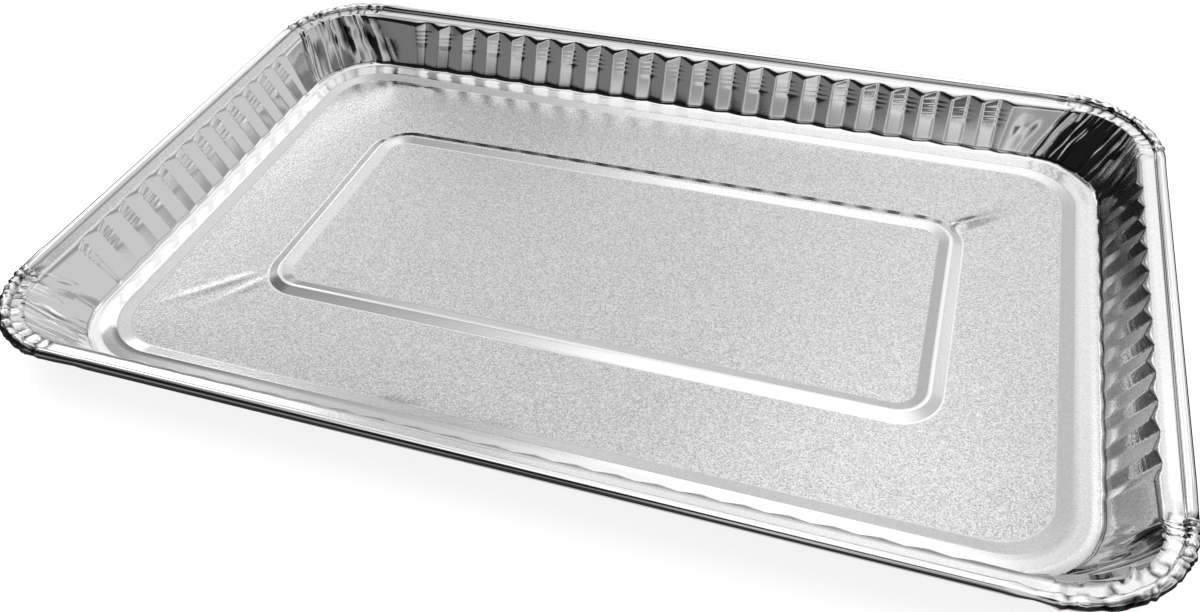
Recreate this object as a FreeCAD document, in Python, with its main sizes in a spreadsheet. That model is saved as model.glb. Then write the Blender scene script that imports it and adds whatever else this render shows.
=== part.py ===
import FreeCAD, Part
import math
import os
import Sketcher
from FreeCAD import Vector

# A shallow cake pan pressed from one sheet of foil.
# Millimetres, +Z up. The origin is the middle of the underside of the floor.
# X runs along the pan's length and Y across its width.

SIZES = {
    # Overall, over the rolled bead.
    "pan_length": 324.0,
    "pan_width": 212.0,
    "pan_height": 19.5,
    "sheet": 0.3,
    # Rim: a curled bead and a shelf that slopes down to the wall. Insets run from the outer edge.
    "rim_corner": 31.0,
    "bead_radius": 1.6,
    "curl_stop_angle": 30.0,
    "groove_drop": 1.1,
    "shelf_inset": 6.8,
    "shelf_drop": 2.3,
    # Foot of the wall, where its flutes end and the fillet begins.
    "foot_inset": 14.1,
    "foot_height": 3.9,
    "foot_corner": 26.0,
    # Ledge round the floor, and the step down to the floor.
    "ledge_inset": 17.0,
    "ledge_height": 1.4,
    "ledge_corner": 24.0,
    "step_inset": 23.4,
    "step_corner": 19.0,
    "floor_inset": 26.4,
    "floor_corner": 16.0,
    # Flutes of the straight walls: ribs that stand inwards, each with a hipped top.
    "flute_pitch": 10.5,
    "flute_margin": 6.0,
    "flute_depth": 1.6,
    "flute_foot_depth": 1.0,
    "hip_drop": 2.0,
    # Pleats of the corner walls, deepest at the foot.
    "pleat_count": 6,
    "pleat_depth": 0.8,
    # Hollow rib that frames the floor panel, measured at its crest.
    "rib_length": 203.6,
    "rib_width": 87.6,
    "rib_corner": 10.0,
    "rib_breadth": 8.2,
    "rib_rise": 1.5,
    "rib_crown": 2.0,
}

doc = FreeCAD.newDocument("foil_pan")


def add_sizes():
    """Put every size into the document's spreadsheet, each under its own alias."""
    table = doc.addObject("Spreadsheet::Sheet", "Sizes")
    for row, (alias, value) in enumerate(SIZES.items(), start=1):
        table.set(f"A{row}", alias)
        table.set(f"B{row}", str(value))
        table.setAlias(f"B{row}", alias)
    doc.recompute()
    return table


sizes = add_sizes()


def size(alias):
    return float(sizes.get(alias))


# ---------------------------------------------------------------- sketches

AXES_ORIGIN = (-1, 1)
VERTICAL_AXIS = -2
START, END, CENTRE = 1, 2, 3


def new_sketch(body, name, plane_role, lift_axis, lift):
    """Add a sketch on one of the body's own origin planes, lifted by an expression."""
    sketch = body.newObject("Sketcher::SketchObject", name)
    plane = next(item for item in body.Origin.OriginFeatures if item.Role == plane_role)
    sketch.AttachmentSupport = [(plane, "")]
    sketch.MapMode = "FlatFace"
    sketch.setExpression(f".AttachmentOffset.Base.{lift_axis}", lift)
    return sketch


def bind(sketch, *constraint, to):
    """Add a dimension and tie it to an expression of the spreadsheet."""
    number = sketch.addConstraint(Sketcher.Constraint(*constraint))
    sketch.setExpression(f"Constraints[{number}]", to)


def relate(sketch, *constraint):
    sketch.addConstraint(Sketcher.Constraint(*constraint))


def line(sketch, start, end):
    return sketch.addGeometry(Part.LineSegment(Vector(*start), Vector(*end)), False)


def arc(sketch, centre, radius, first_degree, last_degree):
    circle = Part.Circle(Vector(*centre), Vector(0, 0, 1), radius)
    curve = Part.ArcOfCircle(circle, math.radians(first_degree), math.radians(last_degree))
    return sketch.addGeometry(curve, False)


def rounded_rectangle(body, name, half_length, half_width, corner, height):
    """Sketch a level outline that starts at the middle of the front side, -Y."""
    sketch = new_sketch(body, name, "XY_Plane", "z", height)
    far_x, far_y, radius = 60.0, 40.0, 12.0
    near_x = far_x - radius
    near_y = far_y - radius
    front_right = line(sketch, (0, -far_y), (near_x, -far_y))
    arc_1 = arc(sketch, (near_x, -near_y), radius, -90, 0)
    right = line(sketch, (far_x, -near_y), (far_x, near_y))
    arc_2 = arc(sketch, (near_x, near_y), radius, 0, 90)
    back = line(sketch, (near_x, far_y), (-near_x, far_y))
    arc_3 = arc(sketch, (-near_x, near_y), radius, 90, 180)
    left = line(sketch, (-far_x, near_y), (-far_x, -near_y))
    arc_4 = arc(sketch, (-near_x, -near_y), radius, 180, 270)
    front_left = line(sketch, (-near_x, -far_y), (0, -far_y))

    chain = [front_right, arc_1, right, arc_2, back, arc_3, left, arc_4, front_left]
    for before, after in zip(chain, chain[1:]):
        relate(sketch, "Tangent", before, END, after, START)
    relate(sketch, "Coincident", front_left, END, front_right, START)
    for level_line in (front_right, back, front_left):
        relate(sketch, "Horizontal", level_line)
    for upright_line in (left, right):
        relate(sketch, "Vertical", upright_line)
    for other in (arc_2, arc_3, arc_4):
        relate(sketch, "Equal", arc_1, other)
    relate(sketch, "PointOnObject", front_right, START, VERTICAL_AXIS)
    bind(sketch, "Radius", arc_1, radius, to=corner)
    bind(sketch, "DistanceX", *AXES_ORIGIN, right, START, far_x, to=half_length)
    bind(sketch, "DistanceX", left, START, *AXES_ORIGIN, far_x, to=half_length)
    bind(sketch, "DistanceY", *AXES_ORIGIN, back, START, far_y, to=half_width)
    bind(sketch, "DistanceY", front_right, START, *AXES_ORIGIN, far_y, to=half_width)
    return sketch


def inset_outline(body, name, inset, corner, height, growth="0"):
    """Sketch an outline that lies inside the pan's edge by an inset, less a growth."""
    return rounded_rectangle(
        body,
        name,
        f"Sizes.pan_length / 2 - {inset} + {growth}",
        f"Sizes.pan_width / 2 - {inset} + {growth}",
        f"{corner} + {growth}",
        height,
    )


# ---------------------------------------------------------------- rim

def rim_section(body):
    """Sketch the rim's section at the front: the shelf and the curl of the bead."""
    sketch = new_sketch(body, "rim_section", "YZ_Plane", "x", "-Sizes.pan_width / 2")
    shelf_top = line(sketch, (6.8, 17.2), (3.1, 18.4))
    bead_outside = arc(sketch, (1.6, 17.9), 1.6, 18, 330)
    curl_end = line(sketch, (2.99, 17.1), (2.73, 17.25))
    bead_inside = arc(sketch, (1.6, 17.9), 1.3, 5, 330)
    shelf_under = line(sketch, (2.9, 18.0), (6.8, 16.9))
    shelf_edge = line(sketch, (6.8, 16.9), (6.8, 17.2))

    relate(sketch, "Coincident", shelf_top, END, bead_outside, START)
    relate(sketch, "Coincident", bead_outside, END, curl_end, START)
    relate(sketch, "Coincident", curl_end, END, bead_inside, END)
    relate(sketch, "Coincident", bead_inside, START, shelf_under, START)
    relate(sketch, "Coincident", shelf_under, END, shelf_edge, START)
    relate(sketch, "Coincident", shelf_edge, END, shelf_top, START)
    relate(sketch, "Coincident", bead_inside, CENTRE, bead_outside, CENTRE)
    relate(sketch, "PointOnObject", bead_outside, CENTRE, curl_end)
    relate(sketch, "Parallel", shelf_under, shelf_top)
    relate(sketch, "Vertical", shelf_edge)
    bind(sketch, "Radius", bead_outside, 1.6, to="Sizes.bead_radius")
    bind(sketch, "Radius", bead_inside, 1.3, to="Sizes.bead_radius - Sizes.sheet")
    bind(sketch, "DistanceX", *AXES_ORIGIN, bead_outside, CENTRE, 1.6, to="Sizes.bead_radius")
    bead_height = "Sizes.pan_height - Sizes.bead_radius"
    bind(sketch, "DistanceY", *AXES_ORIGIN, bead_outside, CENTRE, 17.9, to=bead_height)
    groove_height = "Sizes.pan_height - Sizes.groove_drop"
    bind(sketch, "DistanceY", *AXES_ORIGIN, shelf_top, END, 18.4, to=groove_height)
    bind(sketch, "DistanceX", *AXES_ORIGIN, shelf_top, START, 6.8, to="Sizes.shelf_inset")
    shelf_height = "Sizes.pan_height - Sizes.shelf_drop"
    bind(sketch, "DistanceY", *AXES_ORIGIN, shelf_top, START, 17.2, to=shelf_height)
    bind(sketch, "Distance", shelf_under, END, shelf_top, 0.3, to="Sizes.sheet")
    slant = "180 deg - Sizes.curl_stop_angle * 1 deg"
    bind(sketch, "Angle", curl_end, math.radians(150), to=slant)
    return sketch


def make_rim():
    """Sweep the rim's section round the pan."""
    body = doc.addObject("PartDesign::Body", "rim")
    bead_corner = "Sizes.rim_corner - Sizes.bead_radius"
    bead_height = "Sizes.pan_height - Sizes.bead_radius"
    path = inset_outline(body, "rim_path", "Sizes.bead_radius", bead_corner, bead_height)
    sweep(body, "PartDesign::AdditivePipe", "rim_sweep", rim_section(body), path)
    return body


def sweep(body, kind, name, section, path):
    doc.recompute()
    pipe = body.newObject(kind, name)
    pipe.Profile = section
    pipe.Spine = path
    doc.recompute()
    return pipe


# ---------------------------------------------------------------- floor, step and ledge

def loft(body, kind, name, lower, upper):
    doc.recompute()
    form = body.newObject(kind, name)
    form.Profile = lower
    form.Sections = [upper]
    form.Ruled = True
    doc.recompute()
    return form


def rib_section(body, name, lift):
    """Sketch the rib's section at the front: two flanks and a round crown on a level base."""
    sketch = new_sketch(body, name, "YZ_Plane", "y", lift)
    crest, half, rise, crown = 43.8, 4.1, 1.5, 2.0
    base = line(sketch, (-crest - half, 0), (-crest + half, 0))
    inner_flank = line(sketch, (-crest + half, 0), (-crest + 0.8, rise - 0.2))
    top = arc(sketch, (-crest, rise - crown), crown, 65, 115)
    outer_flank = line(sketch, (-crest - 0.8, rise - 0.2), (-crest - half, 0))
    relate(sketch, "Coincident", base, END, inner_flank, START)
    relate(sketch, "Tangent", inner_flank, END, top, START)
    relate(sketch, "Tangent", top, END, outer_flank, START)
    relate(sketch, "Coincident", outer_flank, END, base, START)
    relate(sketch, "Horizontal", base)
    relate(sketch, "PointOnObject", base, START, -1)
    bind(sketch, "Radius", top, crown, to="Sizes.rib_crown")
    bind(sketch, "DistanceX", top, CENTRE, *AXES_ORIGIN, crest, to="Sizes.rib_width / 2")
    bind(sketch, "DistanceY", top, CENTRE, *AXES_ORIGIN, 0.5, to="Sizes.rib_crown - Sizes.rib_rise")
    bind(sketch, "DistanceX", base, START, top, CENTRE, half, to="Sizes.rib_breadth / 2")
    bind(sketch, "DistanceX", top, CENTRE, base, END, half, to="Sizes.rib_breadth / 2")
    return sketch


def make_base():
    """Build the floor, its step and its ledge as a sheet, with the hollow rib on the floor."""
    body = doc.addObject("PartDesign::Body", "base")
    ledge_under = "Sizes.ledge_height - Sizes.sheet"

    lower = inset_outline(
        body, "floor_under", "Sizes.floor_inset", "Sizes.floor_corner", "0", "Sizes.sheet")
    upper = inset_outline(
        body, "step_under", "Sizes.step_inset", "Sizes.step_corner", ledge_under, "Sizes.sheet")
    loft(body, "PartDesign::AdditiveLoft", "well", lower, upper)

    ledge = inset_outline(
        body, "ledge_edge", "Sizes.ledge_inset", "Sizes.ledge_corner", ledge_under, "Sizes.sheet")
    slab = body.newObject("PartDesign::Pad", "ledge")
    slab.Profile = ledge
    slab.setExpression("Length", "Sizes.sheet")
    doc.recompute()

    lower = inset_outline(
        body, "floor_top", "Sizes.floor_inset", "Sizes.floor_corner", "Sizes.sheet")
    upper = inset_outline(
        body, "step_top", "Sizes.step_inset", "Sizes.step_corner", "Sizes.ledge_height")
    loft(body, "PartDesign::SubtractiveLoft", "well_inside", lower, upper)

    path = rounded_rectangle(
        body, "rib_path", "Sizes.rib_length / 2", "Sizes.rib_width / 2", "Sizes.rib_corner", "0")
    ridge = rib_section(body, "rib_section", "Sizes.sheet")
    sweep(body, "PartDesign::AdditivePipe", "rib", ridge, path)
    hollow = rib_section(body, "rib_hollow_section", "0")
    sweep(body, "PartDesign::SubtractivePipe", "rib_hollow", hollow, path)
    return body


# ---------------------------------------------------------------- fluted wall

class Level:
    """A rounded rectangle at one height, on the inside or the outside of the sheet."""

    def __init__(self, inset, corner, height, growth):
        self.half_length = size("pan_length") / 2 - inset + growth
        self.half_width = size("pan_width") / 2 - inset + growth
        self.corner = corner + growth
        self.height = height - growth

    def side_point(self, turn, along, depth=0.0):
        """A point on side 0 to 3 (front, right, back, left), measured from the side's middle."""
        reach = self.half_width if turn % 2 == 0 else self.half_length
        return turned(Vector(along, -(reach - depth), self.height), turn)

    def side_end(self, turn):
        """How far along its side the corner begins."""
        span = self.half_length if turn % 2 == 0 else self.half_width
        return span - self.corner

    def corner_point(self, turn, angle, depth=0.0):
        """A point on the bend after a side, at an angle of 0 to 90 degrees round it."""
        reach = self.half_width if turn % 2 == 0 else self.half_length
        radius = self.corner - depth
        swing = math.radians(angle)
        across = self.side_end(turn) + radius * math.sin(swing)
        out = reach - self.corner + radius * math.cos(swing)
        return turned(Vector(across, -out, self.height), turn)


def turned(point, quarter_turns):
    turn = FreeCAD.Rotation(Vector(0, 0, 1), 90 * quarter_turns)
    return turn.multVec(point)


def facet(*points):
    """A flat face through points that lie in one plane."""
    return Part.Face(Part.makePolygon(list(points) + [points[0]]))


def ruled(first, second):
    """A ruled face between two edges that run the same way."""
    return Part.makeRuledSurface(first, second)


def flute_faces(top, foot, ledge, turn, middle):
    """One flute: a hip under the shelf, two flanks, and the fillet below each flank."""
    half_pitch = size("flute_pitch") / 2
    left = middle - half_pitch
    right = middle + half_pitch
    hip_share = size("hip_drop") / (top.height - foot.height)
    crest_foot = foot.side_point(turn, middle, size("flute_foot_depth"))
    crest_base = top.side_point(turn, middle) * (1 - hip_share) + foot.side_point(turn, middle) * hip_share
    inward = foot.side_point(turn, middle, 1.0) - foot.side_point(turn, middle)
    crest_top = crest_base + inward * size("flute_depth")
    crest = Part.makeLine(crest_top, crest_foot)

    faces = [facet(top.side_point(turn, left), top.side_point(turn, right), crest_top)]
    for valley in (left, right):
        valley_foot = foot.side_point(turn, valley)
        faces.append(ruled(Part.makeLine(top.side_point(turn, valley), valley_foot), crest))
        upper = Part.makeLine(valley_foot, crest_foot)
        lower = Part.makeLine(ledge.side_point(turn, valley), ledge.side_point(turn, middle))
        faces.append(ruled(upper, lower))
    return faces


def corner_edge(level, turn, first, last, first_depth, last_depth):
    """One step round a bend: an arc where the bend is plain, a straight fold where it is pleated."""
    start = level.corner_point(turn, first, first_depth)
    end = level.corner_point(turn, last, last_depth)
    if first_depth or last_depth:
        return Part.makeLine(start, end)
    return Part.Arc(start, level.corner_point(turn, (first + last) / 2), end).toShape()


def corner_faces(top, foot, ledge, turn):
    """One corner: pleats that open out from the shelf down to the foot, and the fillet below."""
    folds = 2 * int(size("pleat_count"))
    faces = []
    for fold in range(folds):
        first = 90 * fold / folds
        last = 90 * (fold + 1) / folds
        depths = [size("pleat_depth") * (edge % 2) for edge in (fold, fold + 1)]
        upper = corner_edge(top, turn, first, last, 0, 0)
        middle = corner_edge(foot, turn, first, last, *depths)
        lower = corner_edge(ledge, turn, first, last, 0, 0)
        faces.append(ruled(upper, middle))
        faces.append(ruled(middle, lower))
    return faces


def plain_faces(levels, turn, near, hand):
    """The plain stretch between the last flute and the corner, on the left or right hand."""
    faces = []
    for upper, lower in zip(levels, levels[1:]):
        edges = []
        for level in (upper, lower):
            end = level.side_point(turn, hand * level.side_end(turn))
            edges.append(Part.makeLine(level.side_point(turn, hand * near), end))
        faces.append(ruled(*edges))
    return faces


def flute_count(ledge, turn):
    """How many whole flutes fit between the corners of a side."""
    room = 2 * (ledge.side_end(turn) - size("flute_margin"))
    return int(room / size("flute_pitch"))


def wall_levels(growth):
    """The wall's shelf edge, foot and ledge line, on the skin that lies out by a growth."""
    shelf_corner = size("rim_corner") - size("shelf_inset")
    shelf_height = size("pan_height") - size("shelf_drop")
    top = Level(size("shelf_inset"), shelf_corner, shelf_height, growth)
    foot = Level(size("foot_inset"), size("foot_corner"), size("foot_height"), growth)
    ledge = Level(size("ledge_inset"), size("ledge_corner"), size("ledge_height"), growth)
    return top, foot, ledge


def skin_faces(levels, counts):
    """Every face of one skin of the wall."""
    faces = []
    for turn in range(4):
        count = counts[turn % 2]
        pitch = size("flute_pitch")
        for number in range(count):
            middle = (number - (count - 1) / 2) * pitch
            faces += flute_faces(*levels, turn, middle)
        for hand in (-1, 1):
            faces += plain_faces(levels, turn, count * pitch / 2, hand)
        faces += corner_faces(*levels, turn)
    return faces


def border_edges(level, counts, steps):
    """The edges of one level, with each flute's width split into steps."""
    edges = []
    folds = 2 * int(size("pleat_count"))
    for turn in range(4):
        count = counts[turn % 2]
        pitch = size("flute_pitch")
        stations = [(number / steps - count / 2) * pitch for number in range(count * steps + 1)]
        stations = [-level.side_end(turn)] + stations + [level.side_end(turn)]
        for first, last in zip(stations, stations[1:]):
            edges.append(Part.makeLine(level.side_point(turn, first), level.side_point(turn, last)))
        for fold in range(folds):
            edges.append(corner_edge(level, turn, 90 * fold / folds, 90 * (fold + 1) / folds, 0, 0))
    return edges


def make_wall():
    """Close the two skins of the wall with a strip at the shelf and a strip at the ledge."""
    inside = wall_levels(0)
    outside = wall_levels(size("sheet"))
    counts = [flute_count(inside[2], turn) for turn in (0, 1)]
    faces = skin_faces(inside, counts) + skin_faces(outside, counts)
    for inner, outer, steps in ((inside[0], outside[0], 1), (inside[2], outside[2], 2)):
        pairs = zip(border_edges(inner, counts, steps), border_edges(outer, counts, steps))
        faces += [ruled(*pair) for pair in pairs]
    shell = Part.makeShell(faces)
    shell.sewShape()
    solid = Part.makeSolid(Part.Shell(shell.Faces))
    if solid.Volume < 0:
        solid.reverse()
    wall = doc.addObject("Part::Feature", "wall")
    wall.Shape = solid
    return wall


# ---------------------------------------------------------------- the pan

def make_pan():
    """Join rim, wall and base into the one sheet that the pan is pressed from."""
    pan = doc.addObject("Part::MultiFuse", "pan")
    pan.Shapes = [make_rim(), make_wall(), make_base()]
    pan.Label = "pan"
    doc.recompute()
    return pan


def check(part):
    """Stop before anything is written if an object failed or the pan is not one sound solid."""
    for item in doc.Objects:
        if "Invalid" in item.State or "Error" in item.State:
            raise RuntimeError(f"{item.Name} did not build: {item.State}")
    if part.Shape.isNull() or not part.Shape.isValid():
        raise RuntimeError(f"{part.Label} is not a valid shape")
    if len(part.Shape.Solids) != 1:
        raise RuntimeError(f"{part.Label} has {len(part.Shape.Solids)} solids")


pan = make_pan()
check(pan)
os.makedirs("parts", exist_ok=True)
pan.Shape.exportStep(f"parts/{pan.Label}.step")
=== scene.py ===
"""Foil cake pan: one sheet of pressed aluminium foil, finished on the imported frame.

Sizes are in millimetres and are turned into metres only where a vertex is placed.
The sheet is drawn as one ring of stations that is extruded inwards, ring by ring:
bead, shelf, fluted wall, foot, ledge, step, floor, rib and panel.
A set of four values goes round the sides: front, right, back, left.
"""

import math
import random
from collections import namedtuple

import bmesh
import bpy
from mathutils import Matrix, Vector, noise


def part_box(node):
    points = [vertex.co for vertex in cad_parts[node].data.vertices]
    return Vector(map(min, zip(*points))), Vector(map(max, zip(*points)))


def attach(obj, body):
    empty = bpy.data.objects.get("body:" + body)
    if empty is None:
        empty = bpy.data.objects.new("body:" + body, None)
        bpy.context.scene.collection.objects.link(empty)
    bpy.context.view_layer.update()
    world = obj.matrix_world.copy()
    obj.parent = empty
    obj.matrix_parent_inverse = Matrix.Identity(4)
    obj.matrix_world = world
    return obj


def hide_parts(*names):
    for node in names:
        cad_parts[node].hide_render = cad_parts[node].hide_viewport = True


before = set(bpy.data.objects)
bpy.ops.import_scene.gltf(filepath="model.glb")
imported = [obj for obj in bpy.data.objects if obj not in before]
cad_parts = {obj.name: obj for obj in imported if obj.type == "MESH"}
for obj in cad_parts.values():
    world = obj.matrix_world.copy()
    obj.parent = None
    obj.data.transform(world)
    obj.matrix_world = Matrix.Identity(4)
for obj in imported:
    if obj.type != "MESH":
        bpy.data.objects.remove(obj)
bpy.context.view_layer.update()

MM = 0.001
pan_low, pan_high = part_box("pan")
HALF_LENGTH = (pan_high[0] - pan_low[0]) / 2 / MM
HALF_WIDTH = (pan_high[1] - pan_low[1]) / 2 / MM
TOP = pan_high[2] / MM

# The upper skin in section. Insets run from the rim's outer edge; a pair is (inset, height).
SHEET = 0.3
FLOOR = SHEET
BEAD_RADIUS = 1.6
GROOVE = (3.2, TOP - 1.72)
SHELF_EDGE = (6.8, TOP - 2.3)
FOOT = (14.1, 3.9)
LEDGE = 0.85
LEDGE_TILT = 0.3
LEDGE_START = 16.6
STEP_TOP = 23.1
STEP_FOOT = 26.7

# Corner radii in plan.
RIM_CORNER = 31.0
FOOT_CORNER = 26.0
LEDGE_CORNER = 24.0
STEP_CORNER = 19.0
FLOOR_CORNER = 16.0

# Flutes of the straight walls: how many on a long and a short side, and how proud they stand.
FLUTES = (21, 11)
FLUTE_PITCH = 10.5
FLUTE_DEPTH = 1.35
FLUTE_FOOT_DEPTH = 0.7
FLUTE_SHARES = (1.0, 0.75, 1.0, 0.7)
FOOT_SHARES = (1.0, 0.7, 0.85, 0.8)
END_FLUTE_SHARE = 0.92
FLUTE_LUCK = (0.92, 1.04)
FLUTE_ROUND = 0.8

# Rib round the floor panel, measured at its crest, and half its breadth.
RIB_HALF_LENGTH = 101.8
RIB_HALF_WIDTH = 43.8
RIB_CORNER = 10.0
RIB_REACH = 3.5

# The half flute after the last valley: how far along the plain stretch, and how proud.
END_FLUTE = (
    (0.0, 0.0),
    (0.05, 0.16),
    (0.22, 0.64),
    (0.27, 0.72),
    (0.33, 0.69),
    (0.48, 0.62),
    (0.65, 0.57),
    (0.82, 0.53),
)
# How proud the corner walls stand where they meet the side walls, and how fast that fades.
CORNER_PHASE = 0.5
CORNER_FADE = 0.3
CORNER_STEPS = 56


def mix(first, last, share):
    return first + (last - first) * share


def ease(value, low, high):
    """Rise smoothly from 0 at low to 1 at high."""
    share = min(max((value - low) / (high - low), 0.0), 1.0)
    return share * share * (3 - 2 * share)


# ---------------------------------------------------------------- stations round the sheet

# turn: the side, or the side before the corner. along: millimetres from the side's middle.
# share: how far round the corner or along the plain stretch. phase: 0 in a valley, 1 on a crest.
# fold: the corner whose gathers reach this station, and the place on their line.
Station = namedtuple("Station", "turn corner along share phase flute fold")


def flute_strength(turn, flute):
    """Make the end flutes a little shallower, and no two quite alike."""
    from_end = min(flute, FLUTES[turn % 2] - 1 - flute)
    end_share = 1.0 if from_end else END_FLUTE_SHARE
    draw = random.Random(turn * 100 + flute)
    return FLUTE_SHARES[turn] * end_share * draw.uniform(*FLUTE_LUCK)


def side_stations(turn):
    """List one side's stations: half flute, flutes, half flute."""
    flutes = FLUTES[turn % 2]
    end = flutes * FLUTE_PITCH / 2
    side = []
    for step, (share, phase) in enumerate(reversed(END_FLUTE[1:])):
        fold = (turn - 1) % 4, CORNER_STEPS + step
        side.append(Station(turn, False, -end, share, phase, -1, fold))
    half = FLUTE_PITCH / 2
    offsets = (
        0.0,
        FLUTE_ROUND,
        half - FLUTE_ROUND,
        half,
        half + FLUTE_ROUND,
        FLUTE_PITCH - FLUTE_ROUND,
    )
    for flute in range(flutes):
        strength = flute_strength(turn, flute)
        for offset in offsets:
            phase = (1 - abs(offset / half - 1)) * strength
            along = -end + flute * FLUTE_PITCH + offset
            side.append(Station(turn, False, along, 0.0, phase, flute, None))
    for step, (share, phase) in enumerate(END_FLUTE):
        fold = turn, step - len(END_FLUTE)
        side.append(Station(turn, False, end, share, phase, flutes, fold))
    return side


def corner_stations(turn):
    """List the stations of the corner that follows one side."""
    corner = []
    for step in range(CORNER_STEPS + 1):
        share = step / CORNER_STEPS
        phase = CORNER_PHASE * (1 - ease(min(share, 1 - share), 0.0, CORNER_FADE))
        corner.append(Station(turn, True, 0.0, share, phase, -1, (turn, step)))
    return corner


stations = []
for turn in range(4):
    stations += side_stations(turn)
    stations += corner_stations(turn)


def by_side(values, station):
    """Read a value that is given side by side, blended round the corners."""
    if station.corner:
        return mix(values[station.turn], values[(station.turn + 1) % 4], station.share)
    return values[station.turn]


# ---------------------------------------------------------------- rings from bead to panel

# inset and height hold in a valley, ridge_inset and ridge_height on a crest.
# squeeze: how much further in the ring lies on the long sides than on the short ones.
# mark: which nesting mark is pressed here. line: how dark a painted shade line is drawn along the
# bend.
PLAIN = (0.0, 0.0, 0.0, 0.0)
Ring = namedtuple(
    "Ring",
    "zone inset height corner ridge_inset ridge_height squeeze mark line",
    defaults=(None, None, 0.0, None, PLAIN),
)


def wall_fall(height):
    """Say how far down the wall a height lies: 0 at the shelf's edge, 1 at the foot."""
    return (SHELF_EDGE[1] - height) / (SHELF_EDGE[1] - FOOT[1])


def wall_corner(height):
    return mix(RIM_CORNER - SHELF_EDGE[0], FOOT_CORNER, wall_fall(height))


def wall_inset(height, phase):
    """Give the wall's inset at a height: phase 0 is a valley, 1 the crest of a flute."""
    fall = wall_fall(height)
    depth = mix(FLUTE_DEPTH, FLUTE_FOOT_DEPTH, fall)
    return mix(SHELF_EDGE[0], FOOT[0], fall) + depth * phase


def wall_ring(valley_height, ridge_height):
    valley_inset = wall_inset(valley_height, 0.0)
    ridge_inset = wall_inset(ridge_height, 1.0)
    corner = wall_corner(valley_height)
    return Ring("wall", valley_inset, valley_height, corner, ridge_inset, ridge_height)


# The roll of the bead in degrees, from its curled edge under the rim and round to the groove.
BEAD_ANGLES = (
    330, 306, 282, 258, 236, 214, 194, 176, 158, 140, 122, 104, 86, 68, 50, 32, 14, -4,
)
# Painted shade: a dark line along the groove at the inner foot of the bead, side by side.
GROOVE_SHADE_LINE = (0.75, 0.75, 1.0, 0.75)


def bead_rings():
    rings = []
    for degrees in BEAD_ANGLES:
        angle = math.radians(degrees)
        inset = BEAD_RADIUS + BEAD_RADIUS * math.cos(angle)
        height = TOP - BEAD_RADIUS + BEAD_RADIUS * math.sin(angle)
        rings.append(Ring("bead", inset, height, RIM_CORNER - inset))
    rings[-1] = rings[-1]._replace(line=GROOVE_SHADE_LINE)
    return rings


# How far across the shelf each ring lies, and the painted shade line along it, a dark line drawn
# where the shelf should show a dark reflection.
SHELF_SHADE_LINES = (
    (0.08, (0.0, 0.0, 0.7, 0.0)),
    (0.5, PLAIN),
    (0.58, (0.0, 0.0, 0.5, 0.0)),
    (0.66, PLAIN),
    (1.0, (0.55, 0.0, 0.0, 0.0)),
)


def shelf_rings():
    rings = []
    for share, line in SHELF_SHADE_LINES:
        inset = mix(GROOVE[0], SHELF_EDGE[0], share)
        height = mix(GROOVE[1], SHELF_EDGE[1], share)
        rings.append(Ring("shelf", inset, height, RIM_CORNER - inset, line=line))
    return rings


# Each flute ends in a hip: how far its crest lies below the shelf, and how it bulges (in, up).
COLLAR = 0.12
HIP_DROP = 2.2
HIP_MIDDLE = 0.55
HIP_BULGE = (0.132, 0.176)
HIP_ROUND = 0.35
# Painted shade: a dark line drawn across the hips halfway down them, side by side.
HIP_SHADE_LINE = (0.17, 0.55, 0.55, 0.55)

# Heights of the nesting marks and of the plain rings below them.
MARK_HEIGHTS = (14.2, 12.8, 11.4, 10.0)
MARK_REACH = 0.3
LOW_WALL_HEIGHTS = (8.0, 6.4)


def wall_rings():
    top = SHELF_EDGE[1]
    crest = wall_ring(top - COLLAR, top - HIP_DROP)
    rings = []
    for share, bulge, line in ((HIP_MIDDLE, HIP_BULGE, HIP_SHADE_LINE), (1.0, (0.0, 0.0), PLAIN)):
        rings.append(Ring(
            "hip",
            mix(SHELF_EDGE[0], crest.inset, share),
            mix(top, crest.height, share),
            crest.corner,
            mix(SHELF_EDGE[0], crest.ridge_inset, share) + bulge[0],
            mix(top, crest.ridge_height, share) + bulge[1],
            line=line,
        ))
    rings.append(wall_ring(top - COLLAR - HIP_ROUND, top - HIP_DROP - HIP_ROUND))
    for number, mark in enumerate(MARK_HEIGHTS):
        rings.append(wall_ring(mark + MARK_REACH, mark + MARK_REACH))
        rings.append(wall_ring(mark, mark)._replace(mark=number))
        rings.append(wall_ring(mark - MARK_REACH, mark - MARK_REACH))
    for height in LOW_WALL_HEIGHTS:
        rings.append(wall_ring(height, height))
    return rings


# The round between wall and ledge: where it starts in a valley and on a crest, and its rings.
FOOT_START = (3.3, 3.0)
FOOT_TURNS = (0.0, 0.22, 0.3, 0.38, 0.7, 1.0)
# Painted shade: a near-black line drawn in the crease at the foot of the wall, on the ring at this
# turn of the round, side by side.
FOOT_SHADE_TURN = 0.3
FOOT_SHADE_LINE = (0.95, 0.95, 0.95, 0.33)


def foot_curve(phase, share):
    """Follow the round between the wall and the ledge, from the wall at 0 to the ledge at 1."""
    height = mix(*FOOT_START, phase)
    inset = wall_inset(height, phase)
    slope = (FOOT[0] - SHELF_EDGE[0]) / (SHELF_EDGE[1] - FOOT[1])
    turn_inset = inset + (height - LEDGE) * slope
    start, middle, end = (1 - share) ** 2, 2 * share * (1 - share), share ** 2
    return (
        start * inset + middle * turn_inset + end * LEDGE_START,
        start * height + (middle + end) * LEDGE,
    )


def foot_rings():
    rings = []
    for share in FOOT_TURNS:
        corner = mix(FOOT_CORNER, LEDGE_CORNER, share)
        valley = foot_curve(0.0, share)
        ridge = foot_curve(1.0, share)
        line = FOOT_SHADE_LINE if share == FOOT_SHADE_TURN else PLAIN
        rings.append(Ring("foot", *valley, corner, *ridge, line=line))
    return rings


LEDGE_SHARES = (0.35, 0.7, 0.965)
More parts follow.
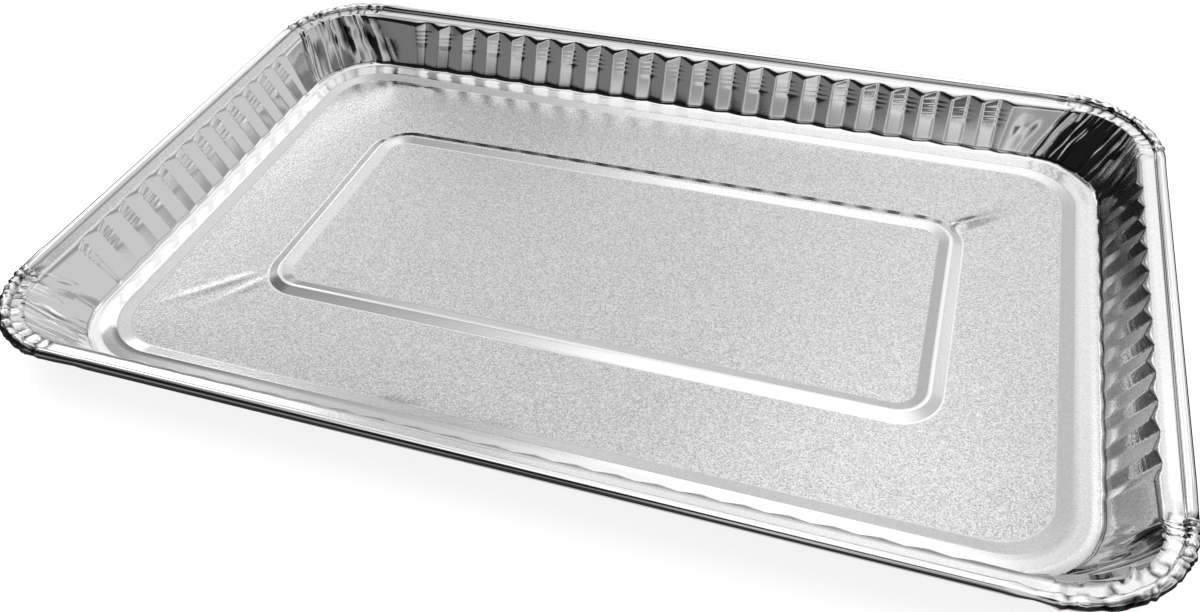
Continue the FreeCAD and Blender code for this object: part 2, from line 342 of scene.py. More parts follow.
# The step down to the floor, as shares of its breadth and its fall.
STEP_PROFILE = (
    (-0.05, 0.0),
    (0.0, 0.012),
    (0.05, 0.055),
    (0.11, 0.12),
    (0.89, 0.88),
    (0.95, 0.945),
    (1.0, 0.988),
    (1.05, 1.0),
)
# Painted shade: dark lines drawn along the step's top and foot, side by side.
STEP_SHADE_LINE = (0.11, 0.11, 0.55, 0.28)


def ledge_rings():
    rings = []
    for share in LEDGE_SHARES:
        inset = mix(LEDGE_START, STEP_TOP, share)
        height = LEDGE + LEDGE_TILT * share
        rings.append(Ring("ledge", inset, height, mix(LEDGE_CORNER, STEP_CORNER, share)))
    for share, drop in STEP_PROFILE:
        inset = mix(STEP_TOP, STEP_FOOT, share)
        height = mix(LEDGE + LEDGE_TILT, FLOOR, drop)
        line = STEP_SHADE_LINE if share in (0.0, 1.0) else PLAIN
        corner = mix(STEP_CORNER, FLOOR_CORNER, share)
        rings.append(Ring("step", inset, height, corner, line=line))
    return rings


RIB_INSET = HALF_LENGTH - RIB_HALF_LENGTH
RIB_SQUEEZE = HALF_WIDTH - RIB_HALF_WIDTH - RIB_INSET
# The floor's rings, and how far the first and the last keep off the step and the rib.
FLOOR_STEPS = 10
FLOOR_OFF_STEP = 0.6
FLOOR_OFF_RIB = 0.7


def floor_rings():
    rings = []
    start = STEP_FOOT + FLOOR_OFF_STEP
    end = RIB_INSET - RIB_REACH - FLOOR_OFF_RIB
    for step in range(FLOOR_STEPS + 1):
        share = step / FLOOR_STEPS
        inset = mix(start, end, share)
        corner = mix(FLOOR_CORNER, RIB_CORNER + RIB_REACH, share)
        rings.append(Ring("floor", inset, FLOOR, corner, squeeze=RIB_SQUEEZE * share))
    return rings


# One side of the rib from its crest down: how far across, and how high above the floor.
RIB_SIDE = (
    (0.3, 0.84),
    (0.6, 0.79),
    (0.85, 0.73),
    (3.3, 0.075),
    (3.46, 0.035),
    (3.6, 0.01),
    (3.75, 0.0),
)
RIB_CREST = (0.0, 0.855)
RIB_INSIDE_FROM = 0.7


def rib_rings():
    outer_side = [(-across, rise) for across, rise in reversed(RIB_SIDE)]
    rings = []
    for across, rise in (*outer_side, RIB_CREST, *RIB_SIDE):
        inset = RIB_INSET + across
        flank = "rib_outside" if across < RIB_INSIDE_FROM else "rib_inside"
        rings.append(Ring(flank, inset, FLOOR + rise, RIB_CORNER - across, squeeze=RIB_SQUEEZE))
    return rings


# The panel's rings run inwards from the rib to a narrow opening, which is filled at the end.
PANEL_INSET = RIB_INSET + RIB_SIDE[-1][0]
PANEL_CORNER = RIB_CORNER - RIB_SIDE[-1][0]
PANEL_STEPS = 12
PANEL_OFF_RIB = 0.4
PANEL_OPENING = 1.5
PANEL_LEAST_CORNER = 0.5


def panel_rings():
    rings = []
    depth = HALF_WIDTH - PANEL_INSET - RIB_SQUEEZE - PANEL_OPENING
    for step in range(PANEL_STEPS + 1):
        reach = max(depth * step / PANEL_STEPS, PANEL_OFF_RIB)
        corner = max(PANEL_CORNER - reach, PANEL_LEAST_CORNER)
        rings.append(Ring("panel", PANEL_INSET + reach, FLOOR, corner, squeeze=RIB_SQUEEZE))
    return rings


# ---------------------------------------------------------------- where a station lies on a ring

QUARTERS = [Matrix.Rotation(math.radians(90 * turn), 2) for turn in range(4)]


def spot(station, ring):
    """Give a station's place on a ring, in plan, and the direction inwards there."""
    inset, height = ring.inset, ring.height
    if ring.ridge_inset is not None:
        phase = station.phase * mix(1.0, by_side(FOOT_SHARES, station), wall_fall(height))
        inset = mix(inset, ring.ridge_inset, phase)
        height = mix(height, ring.ridge_height, phase)
    reaches = (HALF_LENGTH - inset, HALF_WIDTH - inset - ring.squeeze)
    run = reaches[station.turn % 2] - ring.corner
    out = reaches[(station.turn + 1) % 2]
    if station.corner:
        angle = math.radians(90 * station.share - 90)
        inward = Vector((-math.cos(angle), -math.sin(angle)))
        place = Vector((run, ring.corner - out)) - ring.corner * inward
    else:
        inward = Vector((0.0, 1.0))
        end = FLUTES[station.turn % 2] * FLUTE_PITCH / 2
        base_run = (HALF_LENGTH, HALF_WIDTH)[station.turn % 2] - STEP_FOOT - FLOOR_CORNER
        squash = min(1.0, run / base_run)
        along = station.along * squash
        along += math.copysign(station.share * (run - end * squash), station.along)
        place = Vector((along, -out))
    rotate = QUARTERS[station.turn]
    return rotate @ place, rotate @ inward, height


# ---------------------------------------------------------------- gathers in the corners

# step: fewest and most stations between folds. height: lowest and highest fold.
# foot: how much of a fold is left at the foot. lean: how far it slides sideways on its way up.
# One gather for each corner: front right, back right, back left, front left.
Gather = namedtuple("Gather", "seed step height foot lean")

GATHERS = (
    Gather(seed=3, step=(1, 6), height=(0.70, 1.50), foot=0.7, lean=0.5),
    Gather(seed=8, step=(0, 3), height=(0.35, 0.90), foot=0.6, lean=-0.04),
    Gather(seed=5, step=(1, 5), height=(0.30, 0.95), foot=0.5, lean=0.0),
    Gather(seed=11, step=(1, 4), height=(0.30, 0.70), foot=0.5, lean=-0.12),
)
# How many stations a gather reaches past its corner on either side.
SPREAD = 3
# A pleat is two stations wide, and twice as often a trough as a crest.
PLEAT_WIDTH = 2
PLEAT_SIDES = (-1, -1, 1)


def zigzag(seed, step, height):
    """Fold a line: alternate crests and troughs at uneven steps, as (place, height) knots."""
    draw = random.Random(seed)
    place, side = -SPREAD, 1
    knots = [(place, 0.0)]
    while place < CORNER_STEPS + SPREAD - step[1]:
        place += draw.randint(*step)
        knots.append((place, side * draw.uniform(*height)))
        side = -side
    knots.append((CORNER_STEPS + SPREAD, 0.0))
    return knots


def pleats(seed, gap, height):
    """Pinch a line: narrow crests and troughs with smooth foil between them."""
    draw = random.Random(seed)
    place, side = -SPREAD, 1
    knots = [(place, 0.0)]
    while place < CORNER_STEPS + SPREAD - gap[1] - PLEAT_WIDTH:
        place += draw.randint(*gap)
        knots.append((place, 0.0))
        knots.append((place + PLEAT_WIDTH // 2, side * draw.uniform(*height)))
        knots.append((place + PLEAT_WIDTH, 0.0))
        side = draw.choice(PLEAT_SIDES)
        place += PLEAT_WIDTH
    knots.append((CORNER_STEPS + SPREAD, 0.0))
    return knots


# The back left corner is folded all over; the others are pinched here and there.
ZIGZAG_CORNER = 2
SHELF_SEED = 20
SHELF_STEP = (2, 4)
SHELF_HEIGHT = (0.2, 0.5)
RIM_SEED = 40
RIM_STEP = (1, 3)
RIM_HEIGHT = (0.15, 0.45)
WALL_FOLDS = [
    (zigzag if corner == ZIGZAG_CORNER else pleats)(gather.seed, gather.step, gather.height)
    for corner, gather in enumerate(GATHERS)
]
SHELF_FOLDS = [pleats(gather.seed + SHELF_SEED, SHELF_STEP, SHELF_HEIGHT) for gather in GATHERS]
RIM_FOLDS = [zigzag(gather.seed + RIM_SEED, RIM_STEP, RIM_HEIGHT) for gather in GATHERS]

# Each fold keeps FOLD_BASE of its height and gains or loses up to FOLD_SWING of it on its way up.
FOLD_BASE = 0.7
FOLD_SWING = 1.5
FOLD_GRAIN = (1.7, 2.6)
# The fine crumple of the bead, which fades out at the first and last few stations.
CRUMPLE = 0.3
CRUMPLE_GRAIN = (1.37, 9.1)
CRUMPLE_FADE = 3


def patch(place, lift, seed, grain):
    """Read a smooth random value, from about -1 to 1, at a place and lift in a corner."""
    return noise.noise(Vector((place * grain[0], lift * grain[1], seed)))


def folded(knots, place, lift, seed):
    """Read a folded line at a place. Each crest grows and fades in its own way with the lift."""
    for (start, low), (end, high) in zip(knots, knots[1:]):
        if start <= place <= end and start < end:
            first = low * (FOLD_BASE + FOLD_SWING * patch(start, lift, seed, FOLD_GRAIN))
            last = high * (FOLD_BASE + FOLD_SWING * patch(end, lift, seed, FOLD_GRAIN))
            return mix(first, last, (place - start) / (end - start))
    return 0.0


def wall_lift(ring):
    """Say how high a ring lies: 0 at the ledge, 1 at the shelf's edge, then 2 at the rim."""
    if ring.zone in ("shelf", "bead"):
        return 1 + (SHELF_EDGE[0] - ring.inset) / SHELF_EDGE[0]
    return (ring.height - LEDGE) / (SHELF_EDGE[1] - LEDGE)


WALL_ZONES = ("wall", "hip", "foot")
# Below FOOT_LIFT a fold dies out towards the ledge; above FULL_LIFT it has its full height.
FOOT_LIFT = 0.15
FULL_LIFT = 0.6
# How far on to the shelf the folds of the wall run before the shelf's own take over.
SHELF_BLEND = 1.5


def gather_push(station, ring):
    """Give how far a corner's gathers push the sheet out of its even shape."""
    if station.fold is None:
        return 0.0
    corner, place = station.fold
    gather = GATHERS[corner]
    if ring.zone in WALL_ZONES:
        lift = wall_lift(ring)
        strength = mix(gather.foot, 1.0, ease(lift, FOOT_LIFT, FULL_LIFT))
        strength *= ease(lift, 0.0, FOOT_LIFT)
        return strength * folded(WALL_FOLDS[corner], place, lift, gather.seed)
    if ring.zone == "shelf":
        lift = wall_lift(ring)
        fresh = ease(ring.inset, SHELF_EDGE[0], SHELF_EDGE[0] - SHELF_BLEND)
        wall = folded(WALL_FOLDS[corner], place, lift, gather.seed)
        shelf = folded(SHELF_FOLDS[corner], place, lift, gather.seed)
        return mix(wall, shelf, fresh)
    if ring.zone == "bead":
        lift = 2 + math.atan2(ring.height - TOP + BEAD_RADIUS, ring.inset - BEAD_RADIUS) / 3
        crumple = CRUMPLE * patch(place, lift, gather.seed, CRUMPLE_GRAIN)
        crumple *= min(max(min(place, CORNER_STEPS - place) / CRUMPLE_FADE, 0.0), 1.0)
        return folded(RIM_FOLDS[corner], place, lift, gather.seed) + crumple
    return 0.0


WALL_SLOPE = math.atan2(SHELF_EDGE[1] - FOOT[1], FOOT[0] - SHELF_EDGE[0])
SHELF_NORMAL = (0.3, 0.95)


def push_direction(ring):
    """Give the sheet's normal on a ring as a share inwards and a share upwards."""
    if ring.zone == "bead":
        across = (ring.inset - BEAD_RADIUS) / BEAD_RADIUS
        return across, (ring.height - TOP + BEAD_RADIUS) / BEAD_RADIUS
    if ring.zone == "shelf":
        return SHELF_NORMAL
    if ring.zone in WALL_ZONES:
        return math.sin(WALL_SLOPE), math.cos(WALL_SLOPE)
    return 0.0, 1.0


# How far a fold wanders sideways, how fast it turns along the corner and on its way up, and how
# soon it is free to after the corner's ends.
WANDER = 0.022
WANDER_GRAIN = (0.33, 3.2)
WANDER_RISE = 4


def leaned(station, ring):
    """Slide a corner's station sideways with height, so that its folds lean and wander."""
    if not station.corner or ring.zone not in (*WALL_ZONES, "shelf", "bead"):
        return station
    gather = GATHERS[station.turn]
    lift = wall_lift(ring)
    bow = math.sin(math.pi * station.share)
    lean = gather.lean * (min(lift, 1.0) - 0.5) * bow
    wander = WANDER * patch(station.fold[1], lift, gather.seed, WANDER_GRAIN)
    wander *= min(bow * WANDER_RISE, 1.0)
    return station._replace(share=station.share + lean + wander)


# ---------------------------------------------------------------- nesting marks on the flutes

MARK_DEPTH = 0.13
MARK_SHARES = (1.0, 0.12, 1.0, 1.1)
MARK_LUCK = (0.3, 1.3)
# The face of a flute beyond its crest is hardly marked.
MARK_BEYOND = 0.15
# Marks stop short of a flute's crest and of the plain stretch at the end of a side.
MARK_HIGHEST_PHASE = 0.9
MARK_FURTHEST_SHARE = 0.25


def mark_push(station, ring):
    """Press the short level dents that nesting leaves beside the valleys."""
    if ring.mark is None or station.corner:
        return 0.0
    if station.phase > MARK_HIGHEST_PHASE or station.share > MARK_FURTHEST_SHARE:
        return 0.0
    draw = random.Random(station.turn * 1000 + station.flute * 10 + ring.mark)
    ridge = (station.flute + 0.5 - FLUTES[station.turn % 2] / 2) * FLUTE_PITCH
    depth = MARK_DEPTH * MARK_SHARES[station.turn] * draw.uniform(*MARK_LUCK)
    depth *= 1 - station.phase
    return -depth if station.along < ridge else -depth * MARK_BEYOND


# ---------------------------------------------------------------- creases and waves of the floor

# start and end are places in plan; a crease is highest at its start and fades towards its end.
Crease = namedtuple("Crease", "start end height width")

CREASES = (
    Crease((101.4, 43.1), (117.5, 56.0), 1.5, 2.0),
    Crease((104.0, 62.0), (106.5, 80.0), 0.4, 2.6),
    Crease((116.0, 84.0), (122.0, 80.0), 0.5, 6.0),
    Crease((-101.5, -40.2), (-112.5, -56.5), 0.34, 1.4),
    Crease((-110.0, -43.5), (-127.5, -60.5), 0.30, 1.5),
    Crease((-113.0, 76.0), (-108.0, 54.0), 0.8, 9.0),
    Crease((-40.0, -79.0), (-34.0, -66.0), 0.07, 5.0),
    Crease((-9.0, -79.0), (-2.0, -62.0), 0.07, 6.0),
    Crease((34.0, -78.0), (42.0, -60.0), 0.07, 5.0),
)
CREASE_FADE = 0.8
WAVE = 0.14
WAVE_LENGTH = 42.0
WAVE_LAYER = 0.3
# Where the waves lie lower than this below their middle, the floor stays flat.
WAVE_LEVEL = 0.25


def floor_push(place, ring):
    """Raise the floor where the corners have drawn creases and slow waves into it."""
    if ring.zone != "floor":
        return 0.0
    push = 0.0
    for crease in CREASES:
        start, end = Vector(crease.start), Vector(crease.end)
        run = end - start
        share = min(max((place - start).dot(run) / run.length_squared, 0.0), 1.0)
        off = (place - start - run * share).length / crease.width
        push += crease.height * (1 - CREASE_FADE * share) * math.exp(-off * off)
    span = (ring.inset - STEP_FOOT) / (RIB_INSET - RIB_REACH - STEP_FOOT)
    middle = math.sin(math.pi * min(max(span, 0.0), 1.0))
    wave = noise.noise(Vector((place.x / WAVE_LENGTH, place.y / WAVE_LENGTH, WAVE_LAYER)))
    return push + WAVE * max(wave + WAVE_LEVEL, 0.0) * middle


def sheet_point(station, ring):
    """Give a station's place on a ring in metres, with gathers, marks, creases and waves."""
    place, inward, height = spot(leaned(station, ring), ring)
    push = gather_push(station, ring) + mark_push(station, ring)
    across, up = push_direction(ring)
    place = place + inward * push * across
    height += floor_push(place, ring)
    return Vector((place.x * MM, place.y * MM, (height + push * up) * MM))


# ---------------------------------------------------------------- painted shade and satin of the sheet

# Painted shade: how much darker each zone's colour is drawn, side by side, where those faces should
# look darker in their light, and the extra painted shade on each corner's wall.
PAINTED_SHADES = {
    "hip": (0.0, 0.04, 0.0, 0.0),
    "wall": (0.0, 0.04, 0.0, 0.0),
    "foot": (0.0, 0.04, 0.0, 0.0),
    "shelf": (0.0, 0.0, 0.0, 0.2),
    "step": (0.27, 0.38, 0.0, 0.17),
    "rib_inside": (0.36, 0.45, 0.0, 0.1),
}
CORNER_PAINTED_SHADES = (0.4, 0.1, 0.25, 0.0)
# How deep a fold must be for its trough to be painted black: painted shade in the folds.
FOLD_DEPTHS = {"bead": 0.25, "shelf": 0.3, "hip": 0.7, "wall": 0.7, "foot": 0.7}


def painted_shade_at(station, ring):
    """Say how much painted shade a point carries, from 0 to 1: dark lines along bends, black in fold
    troughs, and darker faces by side and in the corners.
    """
    shade = by_side(PAINTED_SHADES.get(ring.zone, PLAIN), station)
    depth = by_side(ring.line, station)
    if station.corner and ring.zone in FOLD_DEPTHS:
        depth = max(depth, -gather_push(station, ring) / FOLD_DEPTHS[ring.zone])
    if station.corner and ring.zone in WALL_ZONES:
        shade += CORNER_PAINTED_SHADES[station.turn] * math.sin(math.pi * station.share)
    return min(depth + shade, 1.0)


# How much satin each zone has kept, side by side: 0 is burnished, 1 is the full grain.
# Satin's grey facets darken the colour, so these amounts are partly painted shade: more satin where
# a face is meant to look darker, less where it is meant to look whiter.
SATIN_AND_SHADE = {
    "bead": (0.0, 0.0, 0.0, 0.0),
    "shelf": (0.3, 0.3, 0.2, 0.6),
    "hip": (0.1, 0.55, 0.1, 0.1),
    "wall": (0.1, 0.55, 0.1, 0.1),
    "foot": (0.1, 0.55, 0.1, 0.1),
    "ledge": (0.1, 0.35, 0.45, 0.0),
    "step": (0.35, 0.35, 0.35, 0.35),
    "floor": (1.0, 1.0, 1.0, 1.0),
    "rib_outside": (0.1, 0.2, 0.8, 0.6),
    "rib_inside": (0.35, 0.35, 0.3, 0.35),
    "panel": (1.0, 1.0, 1.0, 1.0),
}


# ---------------------------------------------------------------- the sheet

def extruded(sheet, edges, ring, tag):
    """Draw the open edge loop inwards to the next ring and give its new edges."""
    made = bmesh.ops.extrude_edge_only(sheet, edges=edges)["geom"]
    fresh = {part for part in made if isinstance(part, bmesh.types.BMVert)}
    satin = sheet.verts.layers.float["satin"]
    painted_shade = sheet.verts.layers.float["painted_shade"]
    for vert in fresh:
        station = stations[vert[tag]]
        vert.co = sheet_point(station, ring)
        vert[satin] = by_side(SATIN_AND_SHADE[ring.zone], station)
        # Painted shade for the vertex: dark lines, black fold troughs and darker faces.
        vert[painted_shade] = painted_shade_at(station, ring)
    drawn = [part for part in made if isinstance(part, bmesh.types.BMEdge)]
    return [edge for edge in drawn if edge.verts[0] in fresh and edge.verts[1] in fresh]


def thinned(sheet, edges, tag):
    """Weld every second station of the open loop to its neighbour."""
    loop = sorted({vert for edge in edges for vert in edge.verts}, key=lambda vert: vert[tag])
    kept = set(loop[0::2])
    bmesh.ops.weld_verts(sheet, targetmap=dict(zip(loop[1::2], loop[0::2])))
    near = [(vert, edge) for vert in kept for edge in vert.link_edges if edge.is_boundary]
    return [edge for vert, edge in near if edge.verts[0] is vert and edge.verts[1] in kept]


def fill_panel(sheet, edges):
    """Fill the narrow opening left in the middle of the panel."""
    face = bmesh.ops.contextual_create(sheet, geom=edges)["faces"]
    bmesh.ops.triangulate(sheet, faces=face, ngon_method="BEAUTY")


def build_sheet():
    """Draw the upper skin, from the bead's curled edge to the middle of the panel."""
    sheet = bmesh.new()
    tag = sheet.verts.layers.int.new("station")
    sheet.verts.layers.float.new("satin")
    sheet.verts.layers.float.new("painted_shade")
    start, *rest = bead_rings()
    bmesh.ops.create_circle(sheet, cap_ends=False, segments=len(stations), radius=1.0)
    sheet.verts.ensure_lookup_table()
    for number, vert in enumerate(sheet.verts):
        vert[tag] = number
        vert.co = sheet_point(stations[number], start)
    edges = list(sheet.edges)
    for ring in rest + shelf_rings() + wall_rings() + foot_rings() + ledge_rings():
        edges = extruded(sheet, edges, ring, tag)
    floor = floor_rings()
    edges = thinned(sheet, extruded(sheet, edges, floor[0], tag), tag)
    for ring in floor[1:] + rib_rings():
        edges = extruded(sheet, edges, ring, tag)
    panel = panel_rings()
    edges = thinned(sheet, extruded(sheet, edges, panel[0], tag), tag)
    for ring in panel[1:]:
        edges = extruded(sheet, edges, ring, tag)
    fill_panel(sheet, edges)
    bmesh.ops.recalc_face_normals(sheet, faces=sheet.faces)
    sheet.faces.ensure_lookup_table()
    middle = min(sheet.faces, key=lambda face: face.calc_center_median().length)
    if middle.normal.z < 0:
        bmesh.ops.reverse_faces(sheet, faces=sheet.faces)
    return sheet


def make_foil_pan():
    sheet = build_sheet()
    for face in sheet.faces:
        face.smooth = True
    mesh = bpy.data.meshes.new("foil_pan")
    sheet.to_mesh(mesh)
    sheet.free()
    piece = bpy.data.objects.new("foil_pan", mesh)
    bpy.context.scene.collection.objects.link(piece)
    thickness = piece.modifiers.new("sheet_thickness", "SOLIDIFY")
    thickness.thickness = SHEET * MM
    thickness.offset = -1.0
    return piece


# ---------------------------------------------------------------- foil material

BURNISHED = (0.95, 0.95, 0.955, 1.0)
# Painted shade: the near-black that the colour is mixed towards along bends, in fold troughs and on
# darker faces.
PAINTED_SHADE_BLACK = (0.05, 0.05, 0.055, 1.0)
# The satin's grain: facets of brighter and darker grey, about 0.3 mm across, and a faint relief.
FACETS_PER_METRE = 3500.0
FACET_GREYS = (0.39, 0.83)
RELIEF_PER_METRE = 1300.0
RELIEF_DETAIL = 2.0
RELIEF_DEPTH = 0.00004
# From burnished foil to full satin.
ROUGHNESS = (0.08, 0.17)
RELIEF_STRENGTH = (0.12, 1.0)


def attribute_value(nodes, name):
    """Read a value that each vertex of the sheet carries."""
    attribute = nodes.new("ShaderNodeAttribute")
    attribute.attribute_name = name
    return attribute.outputs["Fac"]


def ranged(nodes, links, value, span):
    """Spread a value that runs from 0 to 1 over a span."""
    node = nodes.new("ShaderNodeMapRange")
    node.inputs["To Min"].default_value = span[0]
    node.inputs["To Max"].default_value = span[1]
    links.new(value, node.inputs["Value"])
    return node.outputs["Result"]


def foil_material():
    """Bright rolled aluminium: burnished where it was drawn, fine satin grain on the floor, and
    painted shade mixed into its colour.
    """
    material = bpy.data.materials.new("rolled_foil")
    material.use_nodes = True
    nodes, links = material.node_tree.nodes, material.node_tree.links
    shader = nodes["Principled BSDF"]
    shader.inputs["Metallic"].default_value = 1.0
    place = nodes.new("ShaderNodeTexCoord")
    satin = attribute_value(nodes, "satin")

    facets = nodes.new("ShaderNodeTexVoronoi")
    facets.inputs["Scale"].default_value = FACETS_PER_METRE
    links.new(place.outputs["Object"], facets.inputs["Vector"])
    facet = nodes.new("ShaderNodeSeparateColor")
    links.new(facets.outputs["Color"], facet.inputs["Color"])
    grey = ranged(nodes, links, facet.outputs["Red"], FACET_GREYS)

    # The satin's grey facets darken the colour: grain, and partly painted shade where the amount is
    # set side by side.
    colour = nodes.new("ShaderNodeMix")
    colour.data_type = "RGBA"
    colour.inputs["A"].default_value = BURNISHED
    links.new(grey, colour.inputs["B"])
    links.new(satin, colour.inputs["Factor"])

    # Painted shade: the colour is mixed towards black by each vertex's painted shade.
    shade = nodes.new("ShaderNodeMix")
    shade.data_type = "RGBA"
    shade.inputs["B"].default_value = PAINTED_SHADE_BLACK
    links.new(colour.outputs["Result"], shade.inputs["A"])
    links.new(attribute_value(nodes, "painted_shade"), shade.inputs["Factor"])
    links.new(shade.outputs["Result"], shader.inputs["Base Color"])

    links.new(ranged(nodes, links, satin, ROUGHNESS), shader.inputs["Roughness"])

    relief = nodes.new("ShaderNodeTexNoise")
    relief.inputs["Scale"].default_value = RELIEF_PER_METRE
    relief.inputs["Detail"].default_value = RELIEF_DETAIL
    links.new(place.outputs["Object"], relief.inputs["Vector"])
    bump = nodes.new("ShaderNodeBump")
    bump.inputs["Distance"].default_value = RELIEF_DEPTH
    links.new(ranged(nodes, links, satin, RELIEF_STRENGTH), bump.inputs["Strength"])
    links.new(relief.outputs["Fac"], bump.inputs["Height"])
    links.new(bump.outputs["Normal"], shader.inputs["Normal"])
    return material


# ---------------------------------------------------------------- studio

WHITE = (1.0, 1.0, 1.0, 1.0)


def heading(azimuth, elevation):
    """Give the direction at an azimuth clockwise from +Y and an elevation, both in degrees."""
    turn, lift = math.radians(azimuth), math.radians(elevation)
    return Vector((math.sin(turn) * math.cos(lift), math.cos(turn) * math.cos(lift), math.sin(lift)))


# An even dome with flags and reflectors: each adds its gain inside its inner angle, fades out to
# its outer angle, and is negative where it takes light away. Nothing goes below DARKEST.
DOME = 0.62
DARKEST = 0.012
REFLECTORS = (
    # azimuth, elevation, inner angle, outer angle, gain
    (0.0, 90.0, 5.0, 38.0, 0.60),
    (-18.0, 38.0, 20.0, 36.0, 0.34),
    (-39.0, 25.0, 3.0, 7.0, 0.60),
    (-45.0, 28.0, 3.0, 7.0, 0.60),
    (-52.0, 31.0, 3.0, 7.0, 0.60),
    (-49.0, 57.0, 5.0, 14.0, -0.45),
    (-35.0, 25.0, 3.0, 6.0, 0.45),
    (-25.0, 28.0, 3.0, 7.5, -0.35),
    (34.0, 27.0, 4.0, 12.0, 0.45),
    (-89.0, 54.0, 4.0, 15.0, -0.42),
    (-34.0, 14.0, 4.0, 10.0, -0.35),
    (-14.0, 18.0, 8.0, 14.0, -0.12),
    (-14.0, 7.0, 12.0, 22.0, 0.20),
    (-66.0, 41.0, 5.0, 13.0, -0.45),
    (44.0, 12.0, 2.0, 6.0, -0.28),
    (-64.0, 6.0, 9.0, 18.0, -0.55),
    (-80.0, 8.0, 8.0, 18.0, -0.55),
    (12.0, 41.0, 8.0, 18.0, 0.12),
    (2.0, 54.0, 6.0, 12.0, 0.20),
    (-140.0, 47.0, 12.0, 26.0, -0.75),
    (-143.0, 18.0, 18.0, 32.0, -0.44),
    (-100.0, 16.0, 19.0, 30.0, -0.75),
    (-112.0, 44.0, 6.0, 18.0, -0.45),
    (174.0, 22.0, 3.0, 11.0, -0.30),
    (-172.0, 54.0, 8.0, 18.0, -0.60),
    (-168.0, 33.0, 4.0, 9.0, -0.20),
    (-156.0, 26.0, 2.0, 5.0, -0.16),
    (165.5, 25.0, 3.0, 7.0, 0.15),
    (152.0, 24.0, 7.0, 10.0, -0.52),
    (141.0, 18.0, 7.0, 12.0, -0.50),
    (108.0, 28.0, 18.0, 28.0, -0.42),
    (-170.0, 2.0, 6.0, 13.0, -0.50),
    (170.0, 2.0, 6.0, 13.0, -0.50),
)
# Light from straight below and from the rest below the horizon, and how high either reaches, as
# the upward share of a direction.
PAPER_LIGHT = 0.55
ROOM_LIGHT = 0.03
PAPER_RISE = (-0.92, -0.84)
HORIZON_RISE = (-0.06, 0.0)


def faded(nodes, links, value, start, end):
    """Fade smoothly from 0 to 1 while a value goes from start to end; give the node."""
    node = nodes.new("ShaderNodeMapRange")
    node.interpolation_type = "SMOOTHSTEP"
    node.inputs["From Min"].default_value = start
    node.inputs["From Max"].default_value = end
    links.new(value, node.inputs["Value"])
    return node


def dome_light(nodes, links, direction):
    """Add the reflectors to the even dome, over the half above the horizon."""
    total = None
    for azimuth, elevation, inner, outer, gain in REFLECTORS:
        towards = nodes.new("ShaderNodeVectorMath")
        towards.operation = "DOT_PRODUCT"
        towards.inputs[1].default_value = heading(azimuth, elevation)
        links.new(direction, towards.inputs[0])
        edge, core = math.cos(math.radians(outer)), math.cos(math.radians(inner))
        reflector = faded(nodes, links, towards.outputs["Value"], edge, core)
        reflector.inputs["To Max"].default_value = gain
        add = nodes.new("ShaderNodeMath")
        add.operation = "ADD"
        links.new(reflector.outputs["Result"], add.inputs[0])
        if total is None:
            add.inputs[1].default_value = DOME
        else:
            links.new(total, add.inputs[1])
        total = add.outputs["Value"]
    limit = nodes.new("ShaderNodeMath")
    limit.operation = "MAXIMUM"
    limit.inputs[1].default_value = DARKEST
    links.new(total, limit.inputs[0])
    return limit.outputs["Value"]


def make_world():
    world = bpy.data.worlds.new("studio")
    world.use_nodes = True
    nodes, links = world.node_tree.nodes, world.node_tree.links
    direction = nodes.new("ShaderNodeTexCoord").outputs["Generated"]
    dome = dome_light(nodes, links, direction)
    rise = nodes.new("ShaderNodeSeparateXYZ")
    links.new(direction, rise.inputs["Vector"])
    under = faded(nodes, links, rise.outputs["Z"], *PAPER_RISE)
    under.inputs["To Min"].default_value = PAPER_LIGHT
    under.inputs["To Max"].default_value = ROOM_LIGHT
    horizon = faded(nodes, links, rise.outputs["Z"], *HORIZON_RISE)
    room = nodes.new("ShaderNodeMix")
    links.new(horizon.outputs["Result"], room.inputs["Factor"])
    links.new(under.outputs["Result"], room.inputs["A"])
    links.new(dome, room.inputs["B"])
    background = nodes["Background"]
    background.inputs["Color"].default_value = WHITE
    links.new(room.outputs["Result"], background.inputs["Strength"])
    bpy.context.scene.world = world


CAMERA_PLACE = (0.0855, -0.2535, 0.2206)
CAMERA_AIM = (-0.2518, 0.6966, -0.6718)
CAMERA_ROLL = -2.43
LENS = 32.25
SENSOR = 36.0


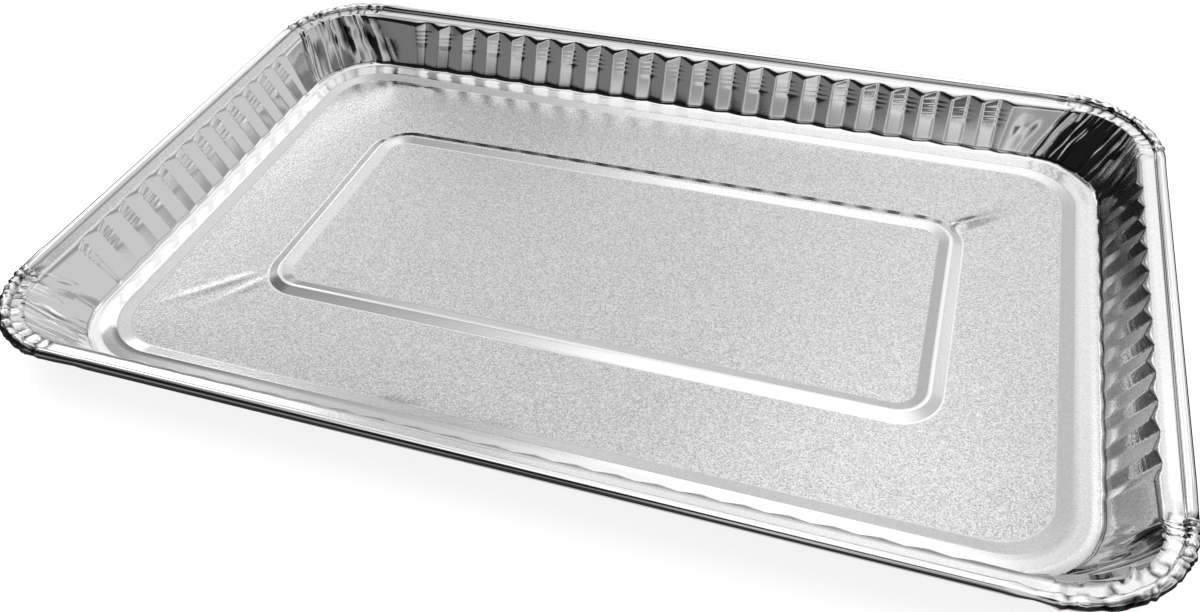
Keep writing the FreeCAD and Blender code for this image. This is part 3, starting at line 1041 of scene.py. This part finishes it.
def make_camera():
    data = bpy.data.cameras.new("camera")
    data.lens = LENS
    data.sensor_width = SENSOR
    camera = bpy.data.objects.new("camera", data)
    turn = Vector(CAMERA_AIM).to_track_quat("-Z", "Y").to_matrix().to_4x4()
    roll = Matrix.Rotation(math.radians(CAMERA_ROLL), 4, "Z")
    camera.matrix_world = Matrix.Translation(Vector(CAMERA_PLACE)) @ turn @ roll
    bpy.context.scene.collection.objects.link(camera)
    bpy.context.scene.camera = camera


# The stage is one white paper, in metres: a square floor with a round backdrop at its edge.
PAPER_GREY = (0.6, 0.6, 0.6, 1.0)
PAPER_ROUGHNESS = 0.9
PAPER_GLOW = 0.82
STAGE_REACH = 4.0
BACKDROP_HEIGHT = 4.0
BACKDROP_MIDDLE = 1.9
BACKDROP_SIDES = 96


def paper_material():
    material = bpy.data.materials.new("pale_paper")
    material.use_nodes = True
    shader = material.node_tree.nodes["Principled BSDF"]
    shader.inputs["Base Color"].default_value = PAPER_GREY
    shader.inputs["Roughness"].default_value = PAPER_ROUGHNESS
    shader.inputs["Emission Color"].default_value = WHITE
    shader.inputs["Emission Strength"].default_value = PAPER_GLOW
    return material


def stage_piece(name, form, material):
    """Turn a form into a piece of the stage that the pan's gloss doesn't mirror."""
    mesh = bpy.data.meshes.new(name)
    form.to_mesh(mesh)
    form.free()
    mesh.materials.append(material)
    piece = bpy.data.objects.new(name, mesh)
    bpy.context.scene.collection.objects.link(piece)
    piece.visible_glossy = False
    return piece


def make_floor(material):
    form = bmesh.new()
    bmesh.ops.create_grid(form, x_segments=1, y_segments=1, size=STAGE_REACH)
    floor = stage_piece("studio_floor", form, material)


def make_backdrop(material):
    """Stand a round of paper at the edge of the floor; the dome's light passes through it."""
    form = bmesh.new()
    bmesh.ops.create_cone(
        form,
        cap_ends=False,
        segments=BACKDROP_SIDES,
        radius1=STAGE_REACH,
        radius2=STAGE_REACH,
        depth=BACKDROP_HEIGHT,
        matrix=Matrix.Translation((0.0, 0.0, BACKDROP_MIDDLE)),
    )
    bmesh.ops.reverse_faces(form, faces=form.faces)
    backdrop = stage_piece("backdrop", form, material)
    backdrop.visible_diffuse = False
    backdrop.visible_shadow = False


foil_pan = make_foil_pan()
foil_pan.data.materials.append(foil_material())
make_world()
make_camera()
paper = paper_material()
make_floor(paper)
make_backdrop(paper)
bpy.context.scene.view_settings.view_transform = "Standard"

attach(foil_pan, "root")
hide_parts("pan")
